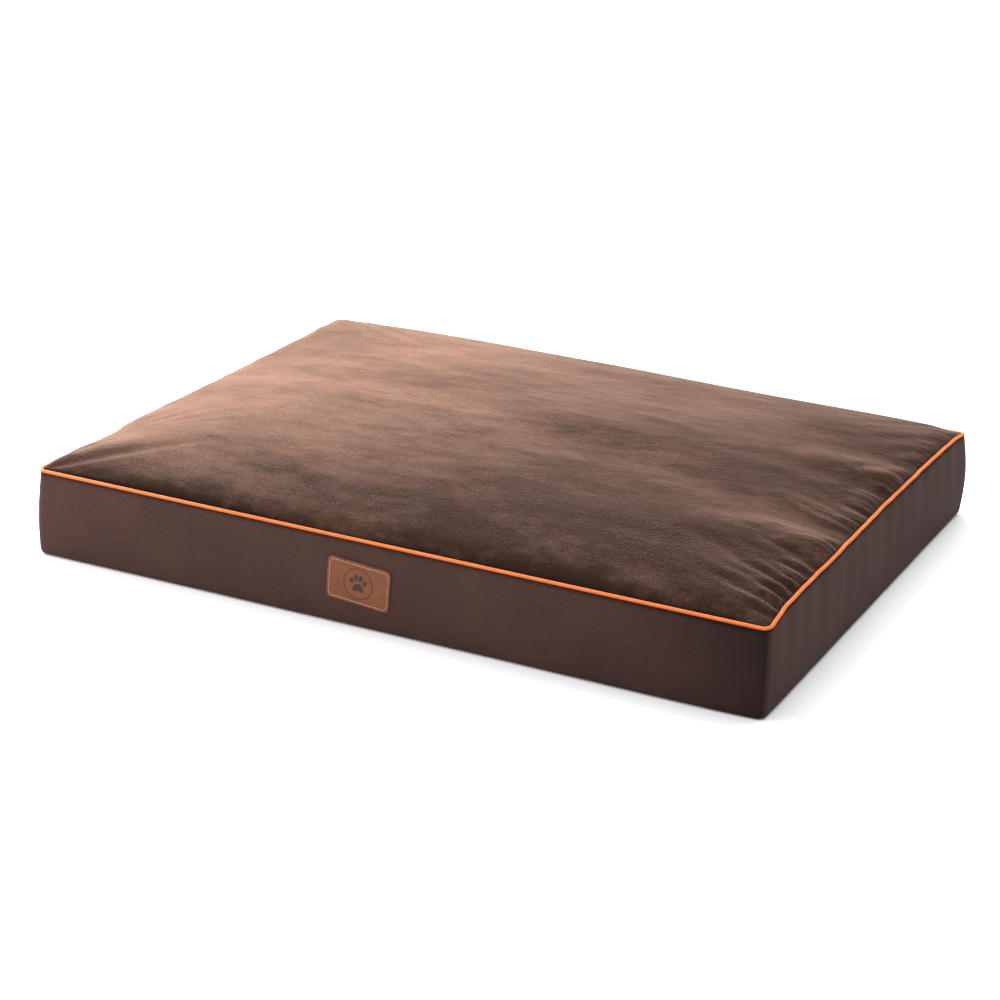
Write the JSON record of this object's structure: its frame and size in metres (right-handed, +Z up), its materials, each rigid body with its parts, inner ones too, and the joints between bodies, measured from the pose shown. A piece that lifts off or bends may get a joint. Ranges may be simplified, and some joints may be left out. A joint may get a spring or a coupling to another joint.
{
  "type": "pet cushion bed",
  "caption": "Rectangular boxed pet bed with a crowned plush top, contrast piping, a leather label and a zipped cover over a lined foam core.",
  "frame": {"origin": "on the floor, under the middle of the bed", "axes": "+X along the long side, +Z up, -Y towards the front band with the leather label"},
  "size_m": [0.9274, 0.6938, 0.1388],
  "materials": {
    "plush": "brushed plush with a short nap",
    "oxford": "fine diagonal weave, matt",
    "anti_slip": "dark cloth with small non-slip dots",
    "welt": "bias-cut cotton, matt",
    "cotton_cord": "twisted cotton cord",
    "zip_tape": "woven polyester tape",
    "zip_coil": "nylon coil",
    "zip_metal": "dull plated die-cast metal",
    "leather": "smooth tan leather, debossed",
    "thread": "waxed thread",
    "satin": "white satin ribbon",
    "liner": "thin coated waterproof cloth",
    "wadding": "lofty polyester fibre",
    "comfort_foam": "egg-crate polyurethane foam",
    "support_foam": "firm polyurethane foam"
  },
  "bodies": {
    "bed": {"top_panel": "plush", "front_band": "oxford", "left_band": "oxford", "right_band": "oxford", "rear_band_upper": "oxford", "rear_band_lower": "oxford", "zip_guard_left": "oxford", "zip_guard_right": "oxford", "base_panel": "anti_slip", "piping_cover": "welt", "piping_cord": "cotton_cord", "cover_zip_tape_upper": "zip_tape", "cover_zip_tape_lower": "zip_tape", "liner_zip_tape_upper": "zip_tape", "liner_zip_tape_lower": "zip_tape", "cover_zip_coil_upper": "zip_coil", "cover_zip_coil_lower": "zip_coil", "liner_zip_coil_upper": "zip_coil", "liner_zip_coil_lower": "zip_coil", "cover_zip_bottom_stop": "zip_metal", "cover_zip_top_stop_upper": "zip_metal", "cover_zip_top_stop_lower": "zip_metal", "liner_zip_bottom_stop": "zip_metal", "liner_zip_top_stop_upper": "zip_metal", "liner_zip_top_stop_lower": "zip_metal", "label_patch": "leather", "label_thread": "thread", "care_label": "satin", "liner_top": "liner", "liner_gusset": "liner", "liner_rear_upper": "liner", "liner_rear_lower": "liner", "liner_base": "liner", "fibre_wadding": "wadding", "comfort_foam": "comfort_foam", "support_foam": "support_foam"},
    "cover_slider": {"cover_zip_slider": "zip_metal"},
    "cover_pull": {"cover_zip_pull": "zip_metal"},
    "liner_slider": {"liner_zip_slider": "zip_metal"}
  },
  "joints": [
    {"name": "cover_zip_slide", "type": "slide", "parent": "bed", "child": "cover_slider", "axis": [-1, 0, 0], "range_m": [0, 0.81]},
    {"name": "cover_zip_pull", "type": "hinge", "parent": "cover_slider", "child": "cover_pull", "pos_m": [0.405, 0.3452, 0.05], "axis": [0, 0, -1], "range_deg": [0, 180]},
    {"name": "liner_zip_slide", "type": "slide", "parent": "bed", "child": "liner_slider", "axis": [-1, 0, 0], "range_m": [0, 0.798]}
  ]
}
